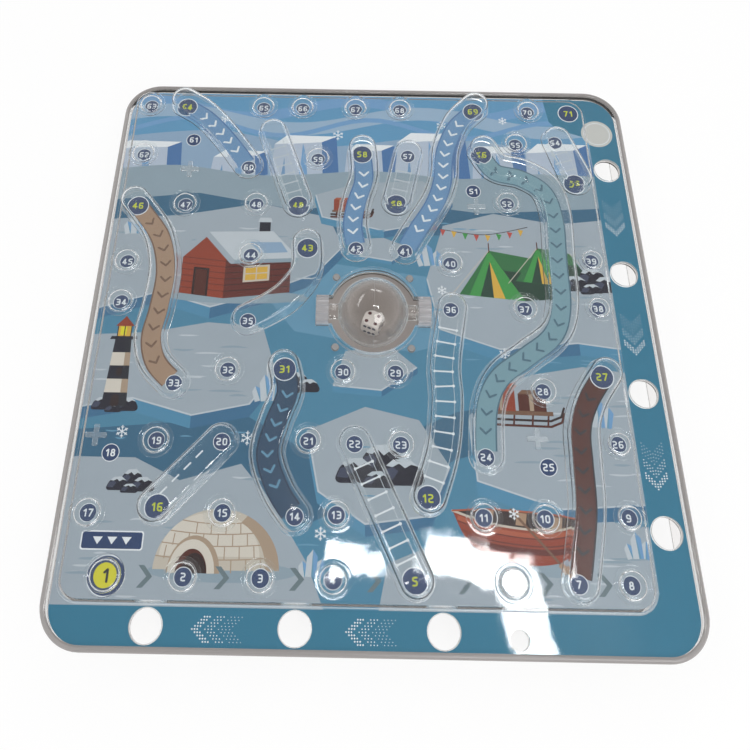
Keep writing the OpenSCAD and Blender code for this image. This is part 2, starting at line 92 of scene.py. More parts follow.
SLIDES = {
    (46, 33): [(-124, 61), (-114, 47), (-109, 28), (-110, 7), (-112, -9), (-108, -22)],
    (31, 14): [(-42, -36), (-47, -51), (-50, -66), (-44, -82)],
    (43, 35): [(-35, 28), (-43, 15), (-53, 7)],
    (58, 42): [(-5, 86), (-9, 71), (-11, 57)],
    (69, 41): [(48, 122), (41, 104), (39, 86), (34, 71), (25, 56)],
    (56, 24): [(69, 93), (83, 89), (95, 80), (99, 63), (98, 37), (97, 12), (91, -4), (76, -16), (62, -27), (55, -42)],
    (64, 60): [(-98, 127), (-89, 118), (-80, 107)],
    (27, 7): [(104, -38), (99, -51), (98, -66), (97, -87), (93, -107)],
}
LADDERS = {
    (5, 22): [], (12, 36): [(32, -63), (35, -40), (35, -20)], (16, 20): [], (49, 65): [], (50, 57): [], (53, 54): [],
}
LADDER_49_END = (-57, 115)
HOLES = [(132.4, y, 7.4) for y in (-97, -33, 31, 95)]
HOLES += [(x, -138.4, 7.4) for x in (-98, -34, 30)]
HOLES += [(62, -141.1, 4.6)]


# Paths and outlines in the plane

def cell(n):
    return np.array(CELLS[n - 1], float)


def curve(points, steps):
    """Catmull-Rom curve through points, as an array."""
    p = np.asarray(points, float)
    n = len(p)
    out = []
    for i in range(n - 1):
        a, b, c, d = p[max(i - 1, 0)], p[i], p[i + 1], p[min(i + 2, n - 1)]
        for t in np.arange(steps) / steps:
            out.append(0.5 * (2 * b + (c - a) * t + (2 * a - 5 * b + 4 * c - d) * t * t
                              + (3 * b - a - 3 * c + d) * t ** 3))
    out.append(p[-1])
    return np.array(out)


def spaced(path, step):
    """The same path with points about step apart."""
    path = np.asarray(path, float)
    d = np.concatenate([[0], np.cumsum(np.linalg.norm(np.diff(path, axis=0), axis=1))])
    n = max(2, int(round(d[-1] / step)) + 1)
    s = np.linspace(0, d[-1], n)
    return np.stack([np.interp(s, d, path[:, 0]), np.interp(s, d, path[:, 1])], 1)


def headings(path):
    t = np.gradient(path, axis=0)
    return t / np.linalg.norm(t, axis=1)[:, None]


def left_of(t):
    return np.stack([-t[..., 1], t[..., 0]], -1)


def route(first, last):
    mid = SLIDES.get((first, last), LADDERS.get((first, last), []))
    end = LADDER_49_END if first == 49 else tuple(cell(last))
    return spaced(curve([tuple(cell(first))] + list(mid) + [end], 12), 1.5)


def oval(x, y, rx, ry=None, n=32, turn=0.0):
    ry = rx if ry is None else ry
    a = np.arange(n) * 2 * math.pi / n + turn
    return np.stack([x + rx * np.cos(a), y + ry * np.sin(a)], 1)


def round_box(x0, y0, x1, y1, r, n=6):
    out = []
    for cx, cy, q in ((x1 - r, y0 + r, -90), (x1 - r, y1 - r, 0), (x0 + r, y1 - r, 90), (x0 + r, y0 + r, 180)):
        for k in range(n + 1):
            a = math.radians(q + 90 * k / n)
            out.append((cx + r * math.cos(a), cy + r * math.sin(a)))
    return np.array(out)


def cornered(points, r, n=3, closed=False):
    """A polyline with its corners rounded."""
    p = [np.array(q, float) for q in points]
    out = []
    for i, b in enumerate(p):
        if not closed and i in (0, len(p) - 1):
            out.append(b)
            continue
        a, c = p[i - 1], p[(i + 1) % len(p)]
        u, v = a - b, c - b
        k = min(r, np.linalg.norm(u) * 0.49, np.linalg.norm(v) * 0.49)
        s, e = b + u / np.linalg.norm(u) * k, b + v / np.linalg.norm(v) * k
        for j in range(n + 1):
            t = j / n
            out.append((1 - t) ** 2 * s + 2 * t * (1 - t) * b + t * t * e)
    return np.array(out)


# Materials

def linear(rgb):
    """A colour of three sRGB values up to 255, as Blender's linear one."""
    def one(c):
        c /= 255
        return c / 12.92 if c <= 0.04045 else ((c + 0.055) / 1.055) ** 2.4
    return tuple(one(c) for c in rgb) + (1.0,)


def add_node(nt, kind, values):
    """A new shader node whose inputs are set to values, or linked where a value is a socket."""
    n = nt.nodes.new("ShaderNode" + kind)
    for key, v in values.items():
        if isinstance(v, bpy.types.NodeSocket):
            nt.links.new(v, n.inputs[key])
        else:
            n.inputs[key].default_value = v
    return n


def blank(name):
    mat = bpy.data.materials.new(name)
    mat.use_nodes = True
    mat.node_tree.nodes.clear()
    return mat, mat.node_tree


def shown(mat, shader):
    add_node(mat.node_tree, "OutputMaterial", {"Surface": shader.outputs[0]})
    return mat


def noise(nt, scale, detail=2.0, rough=0.5):
    where = add_node(nt, "TexCoord", {}).outputs["Object"]
    values = {"Vector": where, "Scale": scale, "Detail": detail, "Roughness": rough}
    return add_node(nt, "TexNoise", values).outputs[0]


def math_node(nt, op, *values):
    n = add_node(nt, "Math", dict(enumerate(values)))
    n.operation = op
    return n.outputs[0]


def bump(nt, height, strength, distance):
    return add_node(nt, "Bump", {"Strength": strength, "Distance": distance, "Height": height}).outputs["Normal"]


def ink(name, rgb):
    """Printed colour on card: fine paper grain, soft uneven tone and a satin varnish."""
    grain, mottle, rough, gloss = 0.06, 0.08, 0.5, 0.2
    mat, nt = blank(name)
    fine, wide = noise(nt, 1900, 3.0, 0.6), noise(nt, 55, 3.0, 0.6)
    tone = math_node(nt, "MULTIPLY_ADD", fine, grain, 1 - grain / 2)
    tone = math_node(nt, "MULTIPLY_ADD", wide, mottle, math_node(nt, "ADD", tone, -mottle / 2))
    hsv = add_node(nt, "HueSaturation", {"Color": linear(rgb), "Value": tone})
    return shown(mat, add_node(nt, "BsdfPrincipled", {
        "Base Color": hsv.outputs[0],
        "Roughness": math_node(nt, "MULTIPLY_ADD", fine, 0.12, rough - 0.06),
        "Normal": bump(nt, fine, 0.12, 0.00004),
        "Specular IOR Level": gloss,
    }))


def clear(name, tint, lamp, rough=0.035, wave=0.06, through=1.0, pale=0.0):
    """Clear moulded plastic: slight waves, fine scuffs, pale steep walls. Light of colour lamp passes straight on."""
    mat, nt = blank(name)
    scuff, flow = noise(nt, 420, 4.0, 0.65), noise(nt, 42)
    both = math_node(nt, "MULTIPLY_ADD", scuff, 0.02, flow)
    p = add_node(nt, "BsdfPrincipled", {
        "Base Color": tint,
        "Transmission Weight": through,
        "IOR": 1.49,
        "Roughness": math_node(nt, "MULTIPLY_ADD", scuff, rough, rough * 0.4),
        "Normal": bump(nt, both, wave, 0.002),
    })
    steep = add_node(nt, "LayerWeight", {"Blend": 0.5}).outputs["Facing"]
    share = math_node(nt, "MULTIPLY", math_node(nt, "POWER", steep, 4.0), pale)
    haze = add_node(nt, "BsdfDiffuse", {"Color": (0.86, 0.9, 0.92, 1)})
    body = add_node(nt, "MixShader", {0: share, 1: p.outputs[0], 2: haze.outputs[0]})
    lets = add_node(nt, "BsdfTransparent", {"Color": lamp})
    path = add_node(nt, "LightPath", {}).outputs
    passing = math_node(nt, "MAXIMUM", path["Is Shadow Ray"], path["Is Diffuse Ray"])
    return shown(mat, add_node(nt, "MixShader", {0: passing, 1: body.outputs[0], 2: lets.outputs[0]}))


def moulded(name, rgb):
    """Opaque moulded plastic with a faint orange-peel surface."""
    rough = 0.28
    mat, nt = blank(name)
    fine, wide = noise(nt, 1500), noise(nt, 180)
    tone = math_node(nt, "MULTIPLY_ADD", wide, 0.08, 0.96)
    hsv = add_node(nt, "HueSaturation", {"Color": linear(rgb), "Value": tone})
    return shown(mat, add_node(nt, "BsdfPrincipled", {
        "Base Color": hsv.outputs[0],
        "Roughness": math_node(nt, "MULTIPLY_ADD", fine, 0.15, rough - 0.07),
        "Normal": bump(nt, fine, 0.15, 0.00003),
    }))


INK_TONES = {
    "band": (48, 116, 144), "sky": (90, 146, 184), "sky_low": (136, 162, 188), "ribbon": (108, 152, 194),
    "ribbon_pale": (146, 172, 196), "water": (74, 128, 156), "deep": (54, 98, 126), "shallow": (98, 146, 174),
    "ice": (156, 167, 177), "ice_lit": (186, 194, 201), "ice_dim": (138, 156, 168), "ice_side": (78, 134, 166),
    "ice_edge": (60, 106, 140), "navy": (44, 64, 102), "white": (226, 230, 234), "lime": (196, 204, 48),
    "yellow": (214, 206, 40), "dark": (34, 36, 44), "grey": (102, 118, 124), "cream": (190, 181, 168),
    "cream_lit": (206, 199, 188), "cream_dim": (164, 144, 124), "tan": (162, 132, 108), "tan_dark": (112, 82, 64),
    "rust": (138, 58, 38), "rust_dark": (92, 38, 32), "rust_lit": (164, 84, 58), "brown": (78, 34, 25),
    "brown_dark": (42, 26, 26), "green": (60, 142, 70), "green_mid": (46, 106, 62), "green_dark": (30, 60, 46),
    "stone": (28, 28, 42), "stone_lit": (62, 68, 88), "teal": (118, 154, 166), "teal_dark": (70, 104, 122),
    "blue": (100, 142, 182), "blue_dark": (68, 110, 160), "slate": (36, 66, 94), "slate_dark": (24, 44, 70),
    "snow": (174, 186, 203), "gold": (206, 164, 66), "coral": (176, 74, 66), "plate": (196, 196, 192),
    "board": (168, 162, 150),
}
INKS = {k: ink(k, v) for k, v in INK_TONES.items()}
INK_ORDER = list(INKS)
CLEAR = clear("clear", (0.97, 0.985, 0.99, 1), (0.985, 0.99, 0.99, 1), pale=0.6)
STEP = clear("step_pale", (0.86, 0.91, 0.94, 1), (0.97, 0.97, 0.97, 1), 0.2, 0.06, 0.55)
SMOKY = clear("smoky_clear", (0.9, 0.885, 0.875, 1), (0.93, 0.92, 0.91, 1), 0.05)
RIM = clear("rim_smoky", (0.32, 0.303, 0.297, 1), (0.8, 0.79, 0.78, 1), 0.12, 0.03, 0.18)
BEARING = clear("bearing_smoky", (0.5, 0.495, 0.51, 1), (0.93, 0.93, 0.93, 1), 0.1, 0.06, 0.5)
CROSS = clear("cross_frosted", (0.9, 0.93, 0.95, 1), (0.95, 0.95, 0.95, 1), 0.2, 0.06, 0.92)
BALL = clear("ball_clear", (0.86, 0.845, 0.83, 1), (0.95, 0.95, 0.94, 1), 0.03, 0.02, pale=0.9)
PIN = clear("pin_smoky", (0.4, 0.39, 0.39, 1), (0.8, 0.79, 0.78, 1), 0.12, 0.06, 0.3)
WHITE = moulded("die_white", (226, 220, 218))
PIP_RED = moulded("pip_red", (84, 26, 34))
PIP_BLUE = moulded("pip_blue", (26, 30, 70))


# Meshes

def flat_faces(obj):
    """Flat faces keep their own normals beside rounded edges."""
    w = obj.modifiers.new("normals", "WEIGHTED_NORMAL")
    w.weight = 100
    w.keep_sharp = True


def piece(name, verts, faces, mats, body, slot, stands_for, sharp, which=None):
    """A mesh made in millimetres, which stands for CAD nodes and rides on a body."""
    mesh = bpy.data.meshes.new(name)
    mesh.from_pydata((np.asarray(verts, float) * MM).tolist(), [], faces)
    for m in mats:
        mesh.materials.append(m)
    if which is not None:
        mesh.polygons.foreach_set("material_index", which)
    mesh.shade_smooth()
    mesh.set_sharp_from_angle(angle=math.radians(sharp))
    mesh.update()
    obj = bpy.data.objects.new(name, mesh)
    scene.collection.objects.link(obj)
    flat_faces(obj)
    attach(obj, body)
    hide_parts(*stands_for)


def refined(name, node, mats, body, edge=0.0, shrink=SEAM / 2, sort=None):
    """The node's own solid with welded corners, drawn in by a hair, and with its edges rounded."""
    weld, flat, sharp, bevel_from = 2e-6, 0.5, 30, 35
    bm = bmesh.new()
    bm.from_mesh(NODES[node].data)
    bmesh.ops.remove_doubles(bm, verts=bm.verts, dist=weld)
    bmesh.ops.dissolve_limit(bm, angle_limit=math.radians(flat), verts=bm.verts, edges=bm.edges)
    bm.normal_update()
    for v, n in [(v, v.normal.copy()) for v in bm.verts]:
        v.co -= n * shrink * MM
    mesh = bpy.data.meshes.new(name)
    bm.to_mesh(mesh)
    bm.free()
    mesh.materials.clear()
    for m in mats:
        mesh.materials.append(m)
    which = [sort(f) if sort else 0 for f in mesh.polygons]
    mesh.polygons.foreach_set("material_index", which)
    mesh.shade_smooth()
    mesh.set_sharp_from_angle(angle=math.radians(sharp))
    obj = bpy.data.objects.new(name, mesh)
    scene.collection.objects.link(obj)
    if edge:
        b = obj.modifiers.new("edges", "BEVEL")
        b.width = edge * MM
        b.segments = 2
        b.limit_method = "ANGLE"
        b.angle_limit = math.radians(bevel_from)
        b.use_clamp_overlap = True
        flat_faces(obj)
    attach(obj, body)
    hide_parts(node)


def strip(a, b, n):
    """Faces between two rings of n points, which start at a and at b."""
    return [(a + j, a + (j + 1) % n, b + (j + 1) % n, b + j) for j in range(n)]


def lathe(profile, n):
    """Solid of revolution about Z of a profile that starts and ends on the axis."""
    verts, faces = [(0, 0, profile[0][1])], []
    a = np.arange(n) * 2 * math.pi / n
    for r, z in profile[1:-1]:
        verts += [(r * math.cos(t), r * math.sin(t), z) for t in a]
    last = len(verts)
    verts.append((0, 0, profile[-1][1]))
    rows = len(profile) - 2
    for k in range(rows - 1):
        faces += [f[::-1] for f in strip(1 + k * n, 1 + (k + 1) * n, n)]
    for j in range(n):
        k = (j + 1) % n
        faces.append((0, 1 + j, 1 + k))
        faces.append((last, 1 + (rows - 1) * n + k, 1 + (rows - 1) * n + j))
    return np.array(verts), faces


def joined(parts):
    verts, faces, base = [], [], 0
    for v, f in parts:
        verts.append(v)
        faces += [tuple(base + i for i in g) for g in f]
        base += len(v)
    return np.concatenate(verts), faces


def dome(x, y, r):
    """Stepped hollow dome that stands on the field."""
    ease, steps, around = 0.4, 4, 56
    crown = r - RING_STEP
    top = crown - CROWN_EASE
    knee = DOME_H - CROWN_EASE / 2
    line = [
        (0, DOME_H), (top, DOME_H), (crown, knee), (crown, RING_H), (r, RING_H), (r, 0),
        (crown - SHELL_T, 0), (crown - SHELL_T, knee - SHELL_T), (top - SHELL_T, DOME_H - SHELL_T),
        (0, DOME_H - SHELL_T),
    ]
    v, f = lathe([tuple(q) for q in cornered(line, ease, steps)], around)
    return v + np.array([x, y, FIELD_TOP + SEAM]), f


def run_shell(path):
    """Hollow run along a path of n points, with m round each end, highest at its first point."""
    n, m, outer_steps, inner_steps = len(path), 14, 5, 3
    t = headings(path)
    side = left_of(t)
    height = RUN_H0 + (RUN_H1 - RUN_H0) * np.linspace(0, 1, n)

    def ring(inset, drop):
        w = RUN_W / 2 - inset
        xy, h = list(path + w * side), list(height)
        for end, turn in ((n - 1, 90), (0, -90)):
            arc = []
            for k in range(1, m + 1):
                a = math.radians(turn - 180 * k / (m + 1))
                arc.append(path[end] + w * (math.cos(a) * t[end] + math.sin(a) * side[end]))
            if end:
                xy += arc + list((path - w * side)[::-1])
                h += [height[-1]] * m + list(height[::-1])
            else:
                xy += arc
                h += [height[0]] * m
        z = np.zeros(len(xy)) if drop is None else np.array(h) - drop
        return np.column_stack([np.array(xy), z + FIELD_TOP + SEAM])

    rings = [ring(0, None)]
    for k in range(outer_steps + 1):
        a = math.radians(90 * k / outer_steps)
        rings.append(ring(RUN_DRAFT + RUN_ROUND * (1 - math.cos(a)), RUN_ROUND * (1 - math.sin(a))))
    roof, inner = len(rings) - 1, RUN_ROUND - SHELL_T
    for k in range(inner_steps, -1, -1):
        a = math.radians(90 * k / inner_steps)
        rings.append(ring(RUN_DRAFT + RUN_ROUND - inner * math.cos(a), RUN_ROUND - inner * math.sin(a)))
    rings.append(ring(SHELL_T, None))
    count = 2 * n + 2 * m
    faces = []
    for k in range(len(rings) - 1):
        if k != roof:
            faces += [f[::-1] for f in strip(k * count, (k + 1) * count, count)]
    faces += [f[::-1] for f in strip((len(rings) - 1) * count, 0, count)]

    def lid(k):
        b = k * count
        out = [(b + i, b + i + 1, b + 2 * n + m - 2 - i, b + 2 * n + m - 1 - i) for i in range(n - 1)]
        out.append(tuple(range(b + n - 1, b + n + m + 1)))
        out.append(tuple(range(b + 2 * n + m - 1, b + count)) + (b,))
        return out

    faces += [f[::-1] for f in lid(roof)] + lid(roof + 1)
    return np.concatenate(rings), faces


def ball_half(s):
    """Half of the hollow ball with its hub and axle stub, on side s."""
    x0 = SEAM / 2
    hub_x = math.sqrt(BALL_R ** 2 - HUB_R ** 2)
    rows, around, inner_r, ease, root, skip = 28, 96, BALL_R - BALL_T, 0.3, 0.5, 0.02
    top = math.asin(HUB_R / BALL_R)
    line = [(0, AXLE_END), (AXLE_R - ease, AXLE_END), (AXLE_R, AXLE_END - ease), (AXLE_R, HUB_END + ease / 2)]
    line += [(AXLE_R + ease / 2, HUB_END), (HUB_R - ease, HUB_END), (HUB_R, HUB_END - ease), (HUB_R, hub_x + root)]
    for k in range(rows + 1):
        a = top + skip + (math.pi / 2 - top - skip) * k / rows
        line.append((BALL_R * math.sin(a), max(BALL_R * math.cos(a), x0)))
    for k in range(rows + 1):
        a = math.pi / 2 * (1 - k / rows)
        line.append((inner_r * math.sin(a), max(inner_r * math.cos(a), x0)))
    line[-1] = (0, inner_r)
    v, f = lathe(line, around)
    v = np.column_stack([s * v[:, 2], v[:, 0] + BALL_Y, v[:, 1] + AXLE_Z])
    return v, f if s > 0 else [g[::-1] for g in f]


# The print on the card. Later shapes lie over earlier ones; no ink is a hole.

shapes = []


def lay(tone, points):
    """Adds a closed outline to the print, turned anticlockwise."""
    p = np.asarray(points, float)
    x, y = p[:, 0], p[:, 1]
    if np.dot(x, np.roll(y, -1)) < np.dot(y, np.roll(x, -1)):
        p = p[::-1]
    shapes.append((tone, p))


def stroke(tone, points, w, closed=False, caps=True):
    """A line of width w, round at its corners and, with caps, at its ends."""
    p = np.asarray(points, float)
    pairs = list(zip(p[:-1], p[1:])) + ([(p[-1], p[0])] if closed else [])
    for a, b in pairs:
        d = b - a
        k = np.linalg.norm(d)
        if k < 1e-6:
            continue
        o = np.array([-d[1], d[0]]) / k * w / 2
        lay(tone, [a - o, b - o, b + o, a + o])
    for q in (p if closed or caps else p[1:-1]):
        lay(tone, oval(q[0], q[1], w / 2, n=8, turn=0.39))


def ribbon(tone, path, w):
    """A band of even width along a path, one four-sided field at a time."""
    side = left_of(headings(path)) * w / 2
    for i in range(len(path) - 1):
        lay(tone, [path[i] - side[i], path[i + 1] - side[i + 1], path[i + 1] + side[i + 1], path[i] + side[i]])


def tapered(tone, path, widths):
    side = left_of(headings(path)) * np.asarray(widths)[:, None] / 2
    lay(tone, np.concatenate([path - side, (path + side)[::-1]]))


def placed(x, y, s, tilt=0.0):
    """A function that scales and tilts a drawing's points and moves them to their place."""
    t = math.radians(tilt)
    turn = np.array([[math.cos(t), -math.sin(t)], [math.sin(t), math.cos(t)]])
    return lambda points: np.asarray(points, float) * s @ turn.T + (x, y)


def floe(points, drop):
    """A flat sheet of ice with its front faces and a bright front edge."""
    p = np.asarray(points, float)
    n = len(p)
    for i in range(n):
        a, b = p[i], p[(i + 1) % n]
        if (b - a)[0] > 0:
            tone = "ice_side" if (b - a)[1] < 0 else "ice_edge"
            lay(tone, [a, a - (0, drop), b - (0, drop), b])
    lay("ice", p)
    mid = p.mean(0)
    for i in range(n):
        a, b = p[i], p[(i + 1) % n]
        if (b - a)[0] > 0:
            q = np.array([a, b]) + (mid - (a + b) / 2) / np.linalg.norm(mid - (a + b) / 2) * 0.5
            stroke("ice_lit", q, 0.7, caps=False)


def streaks(tone, x0, y0, x1, y1, count, length, w):
    for _ in range(count):
        x, y = dice.uniform(x0, x1), dice.uniform(y0, y1)
        k = dice.uniform(0.4, 1.0) * length
        path = np.array([(x, y), (x + k / 2, y + dice.uniform(-0.6, 0.6)), (x + k, y)])
        tapered(tone, curve(path, 3), [0.05, w * 0.7, w, w, w * 0.9, w * 0.5, 0.05])


def flake(x, y, r):
    for k in range(3):
        a = math.radians(60 * k + 30)
        u = np.array([math.cos(a), math.sin(a)])
        stroke("white", [(x, y) - r * u, (x, y) + r * u], 0.45, caps=False)
        for s in (-1, 1):
            q = np.array([x, y]) + s * r * 0.6 * u
            for b in (-60, 60):
                c = a + math.radians(b) + (math.pi if s < 0 else 0)
                stroke("white", [q, q + r * 0.3 * np.array([math.cos(c), math.sin(c)])], 0.4, caps=False)


def tent(x, y, s):
    """A ridge tent seen from its open end."""
    put = placed(x, y, s)
    lay("green_dark", put([(0, 1.5), (1.3, 1.25), (2.1, -0.1), (1, -0.2)]))
    lay("green_mid", put([(0, 1.5), (1.3, 1.25), (1.62, 0.7), (0.42, 0.82)]))
    lay("green", put([(-1, 0), (1, -0.2), (0, 1.5)]))
    lay("green_dark", put([(-0.36, -0.06), (0.4, -0.13), (0, 1.12)]))
    lay("gold", put([(0.05, -0.1), (0.4, -0.13), (0, 1.12)]))
    lay("green_mid", put([(-1, 0), (-0.7, -0.03), (0, 1.5)]))
    stroke("cream", put([(0, 1.5), (-1.3, -0.1)]), 0.4)
    stroke("cream", put([(1.3, 1.25), (2.5, -0.15)]), 0.4)
    stroke("brown", put([(0, 1.42), (0, 1.75)]), 0.6)


def arch(x, y, rx, ry, n=20):
    a = np.linspace(0, math.pi, n)
    return np.column_stack([x + rx * np.cos(a), y + ry * np.sin(a)])


def igloo(x, y, r):
    """A hut of snow blocks with an arched porch."""
    lay("ice_dim", oval(x + 0.1 * r, y - 0.02 * r, 1.18 * r, 0.16 * r))
    lay("cream", arch(x, y, r, 0.92 * r, 40))
    lay("cream_lit", arch(x - 0.12 * r, y + 0.2 * r, 0.8 * r, 0.66 * r, 40))
    b = np.linspace(-0.5, 1.1, 20)
    edge = np.column_stack([x + r * np.cos(b), y + 0.92 * r * np.sin(b)])
    back = np.column_stack([x + 0.78 * r * np.cos(b), y + 0.8 * r * np.sin(b)])
    keep = edge[:, 1] >= y
    lay("cream_dim", np.concatenate([edge[keep], np.maximum(back[keep][::-1], (-999, y))]))
    for k, h in enumerate((0.2, 0.4, 0.58, 0.74)):
        w = r * math.sqrt(max(0, 1 - (h / 0.92) ** 2))
        xs = np.linspace(x - w, x + w, 16)
        row = np.column_stack([xs, y + h * r - 0.05 * r * (1 - ((xs - x) / w) ** 2)])
        stroke("cream_dim", row, 0.5, caps=False)
        low = (0.0, 0.2, 0.4, 0.58)[k]
        for j in range(-4, 5):
            px = x + (j + 0.5 * (k % 2)) * r * 0.24
            if abs(px - x) < w * 0.94:
                joint = [(px, y + (low - 0.04) * r), (px * 0.97 + x * 0.03, y + (h - 0.04) * r)]
                stroke("cream_dim", joint, 0.5, caps=False)
    px, py = x - 0.36 * r, y - 0.05 * r
    for tone, dx, w, h in (("cream_dim", 0, 0.42, 0.56), ("cream_lit", -0.03, 0.37, 0.5),
                           ("brown", -0.03, 0.25, 0.36), ("brown_dark", 0.01, 0.2, 0.3)):
        lay(tone, arch(px + dx * r, py, w * r, h * r))


def boat(x, y, s, tilt):
    """A planked rowing boat drawn up on the ice."""
    put = placed(x, y, s, tilt)
    near = [(-1.35, 0.34), (-0.5, 0.18), (0.6, 0.2), (1.4, 0.44)]
    far = [(1.4, 0.44), (0.7, 0.5), (-0.5, 0.46), (-1.35, 0.34)]
    keel = [(-1.35, 0.34), (-1.0, -0.2), (-0.4, -0.46), (0.45, -0.46), (1.05, -0.2), (1.4, 0.44)]
    lay("ice_dim", put(oval(0.1, -0.5, 1.3, 0.16)))
    lay("rust", put(np.concatenate([curve(keel, 6), curve(near[::-1], 6)])))
    for k, (tone, d) in enumerate((("rust_lit", 0.02), ("rust", -0.12), ("rust_dark", -0.27))):
        bow, stern = (-1.24 + k * 0.1, 0.22 - k * 0.16), (1.28 - k * 0.1, 0.3 - k * 0.19)
        line = curve([bow, (-0.5, 0.05 + d), (0.5, 0.06 + d), stern], 8)
        ribbon(tone, put(line), 0.09 * s)
        stroke("rust_dark", put(line - (0, 0.055)), 0.5, caps=False)
    lay("brown_dark", put(np.concatenate([curve(near, 8), curve(far, 8)])))
    for q in (-0.75, -0.1, 0.6):
        lay("tan", put([(q, 0.22), (q + 0.2, 0.22), (q + 0.22, 0.46), (q + 0.02, 0.46)]))
    stroke("cream", put(curve(near, 8)), 1.0)
    stroke("rust_lit", put(curve(far, 8)), 0.8)
    stroke("tan_dark", put([(-0.2, 0.5), (0.82, -0.43)]), 1.1)
    lay("tan", put([(0.74, -0.43), (0.82, -0.35), (1.12, -0.56), (1.2, -0.7), (1.05, -0.7), (0.9, -0.58)]))


def stones(x, y, s):
    """A heap of dark stones with snow on top."""
    heap = [(0.1, 0.3, 0.8, 0.95), (-0.8, 0.0, 0.75, 0.75), (0.85, -0.05, 0.85, 0.8), (0.0, -0.2, 0.6, 0.5)]
    whole = [(-1, 0), (-0.8, 0.55), (-0.35, 0.95), (0.3, 1.0), (0.8, 0.6), (1, 0.05), (0.8, -0.18), (-0.85, -0.18)]
    lit = [(-0.9, 0.1), (-0.74, 0.5), (-0.36, 0.62), (-0.12, 0.45), (-0.4, 0.05)]
    snow = [(-0.66, 0.68), (-0.35, 0.95), (0.3, 1.0), (0.76, 0.64)]
    snow += [(0.42, 0.74), (0.15, 0.58), (-0.1, 0.78), (-0.38, 0.62)]
    for dx, dy, w, h in heap:
        o, k = np.array([x + dx * s, y + dy * s]), np.array([w, h]) * s
        lay("stone", cornered(np.array(whole) * k + o, 0.25 * w * s, 2, True))
        lay("stone_lit", np.array(lit) * k + o)
        lay("ice_lit", np.array(snow) * k + o)


def cabin(x, y, s):
    """A plank cabin with snow on its roof and a lit window."""
    put = placed(x, y, s)
    lay("ice_dim", put(oval(0.35, -0.08, 1.6, 0.16)))
    lay("rust", put([(-1, 0), (0, -0.12), (0, 0.9), (-0.5, 1.45), (-1, 0.95)]))
    lay("rust_dark", put([(0, -0.12), (1.5, 0.05), (1.5, 0.95), (0, 0.9)]))
    for k in range(1, 7):
        stroke("rust_dark", put([(-1, 0.15 * k), (0, 0.15 * k - 0.1)]), 0.4, caps=False)
        stroke("brown_dark", put([(0, 0.15 * k - 0.1), (1.5, 0.05 + 0.15 * k)]), 0.4, caps=False)
    lay("brown_dark", put([(-0.72, -0.03), (-0.36, -0.075), (-0.36, 0.62), (-0.72, 0.65)]))
    lay("brown", put([(-0.67, -0.02), (-0.41, -0.06), (-0.41, 0.57), (-0.67, 0.6)]))
    lay("cream", put([(0.42, 0.28), (1.02, 0.34), (1.02, 0.74), (0.42, 0.69)]))
    lay("gold", put([(0.47, 0.33), (0.97, 0.38), (0.97, 0.69), (0.47, 0.64)]))
    stroke("cream", put([(0.72, 0.31), (0.72, 0.71)]), 0.6, caps=False)
    stroke("cream", put([(0.45, 0.49), (1.0, 0.535)]), 0.6, caps=False)
    lay("stone", put([(0.72, 1.2), (0.98, 1.2), (0.98, 1.86), (0.72, 1.86)]))
    lay("ice_lit", put([(0.68, 1.84), (1.02, 1.84), (0.98, 1.96), (0.72, 1.96)]))
    lay("ice_lit", put([(-0.5, 1.56), (1.05, 1.6), (1.68, 0.92), (0.14, 0.84)]))
    lay("ice_dim", put([(0.14, 0.84), (1.68, 0.92), (1.66, 0.82), (0.14, 0.74)]))
    lay("sky_low", put([(0.5, 1.3), (1.25, 1.32), (1.42, 1.06), (0.8, 1.02)]))
    stroke("ice", put([(-1.14, 0.84), (-0.5, 1.52), (0.14, 0.8)]), 0.13 * s)


def lighthouse(x, y, s):
    """A banded tower with a lamp room on a rock."""
    put = placed(x, y, s)
    stones(x, y - 0.05 * s, 0.42 * s)
    for k in range(5):
        lo, hi = 0.4 * k, 0.4 * (k + 1)
        a, b = 0.36 - 0.06 * lo, 0.36 - 0.06 * hi
        dark = k % 2 == 0
        lay("stone" if dark else "cream_lit", put([(-a, lo), (a, lo), (b, hi), (-b, hi)]))
        lay("dark" if dark else "cream_dim", put([(0.4 * a, lo), (a, lo), (b, hi), (0.4 * b, hi)]))
    lay("stone", put([(-0.4, 2.0), (0.4, 2.0), (0.36, 2.1), (-0.36, 2.1)]))
    lay("gold", put([(-0.2, 2.1), (0.2, 2.1), (0.2, 2.42), (-0.2, 2.42)]))
    lay("yellow", put([(-0.12, 2.14), (0.06, 2.14), (0.06, 2.4), (-0.12, 2.4)]))
    for q in (-0.2, 0.0, 0.2):
        stroke("stone", put([(q, 2.1), (q, 2.42)]), 0.5, caps=False)
    lay("rust", put([(-0.28, 2.42), (0.28, 2.42), (0.1, 2.62), (0, 2.74), (-0.1, 2.62)]))
    lay("brown_dark", put(round_box(-0.07, 0.9, 0.09, 1.14, 0.06)))
    lay("brown_dark", put(round_box(-0.11, 0.0, 0.13, 0.34, 0.1)))


def crystal(x, y, s, lean):
    """Three pointed blocks of ice, each with a lit and a shaded face."""
    for dx, h, w, a in ((-0.5, 1.1, 0.32, 0.22), (0.45, 1.3, 0.34, -0.2), (0, 1.9, 0.4, 0.02)):
        a += lean
        u, v = np.array([-math.sin(a), math.cos(a)]), np.array([math.cos(a), math.sin(a)])
        o = np.array([x + dx * s, y])
        left, right, tip = o - v * w * s, o + v * w * s, o + u * h * s
        left_top, right_top = left + u * h * 0.7 * s, right + u * h * 0.75 * s
        lay("shallow", [left, right, right_top, tip, left_top])
        lay("ice_lit", [left, o + v * 0.05 * s, tip, left_top])
        lay("ribbon", [o + v * 0.55 * w * s, right, right_top, tip])


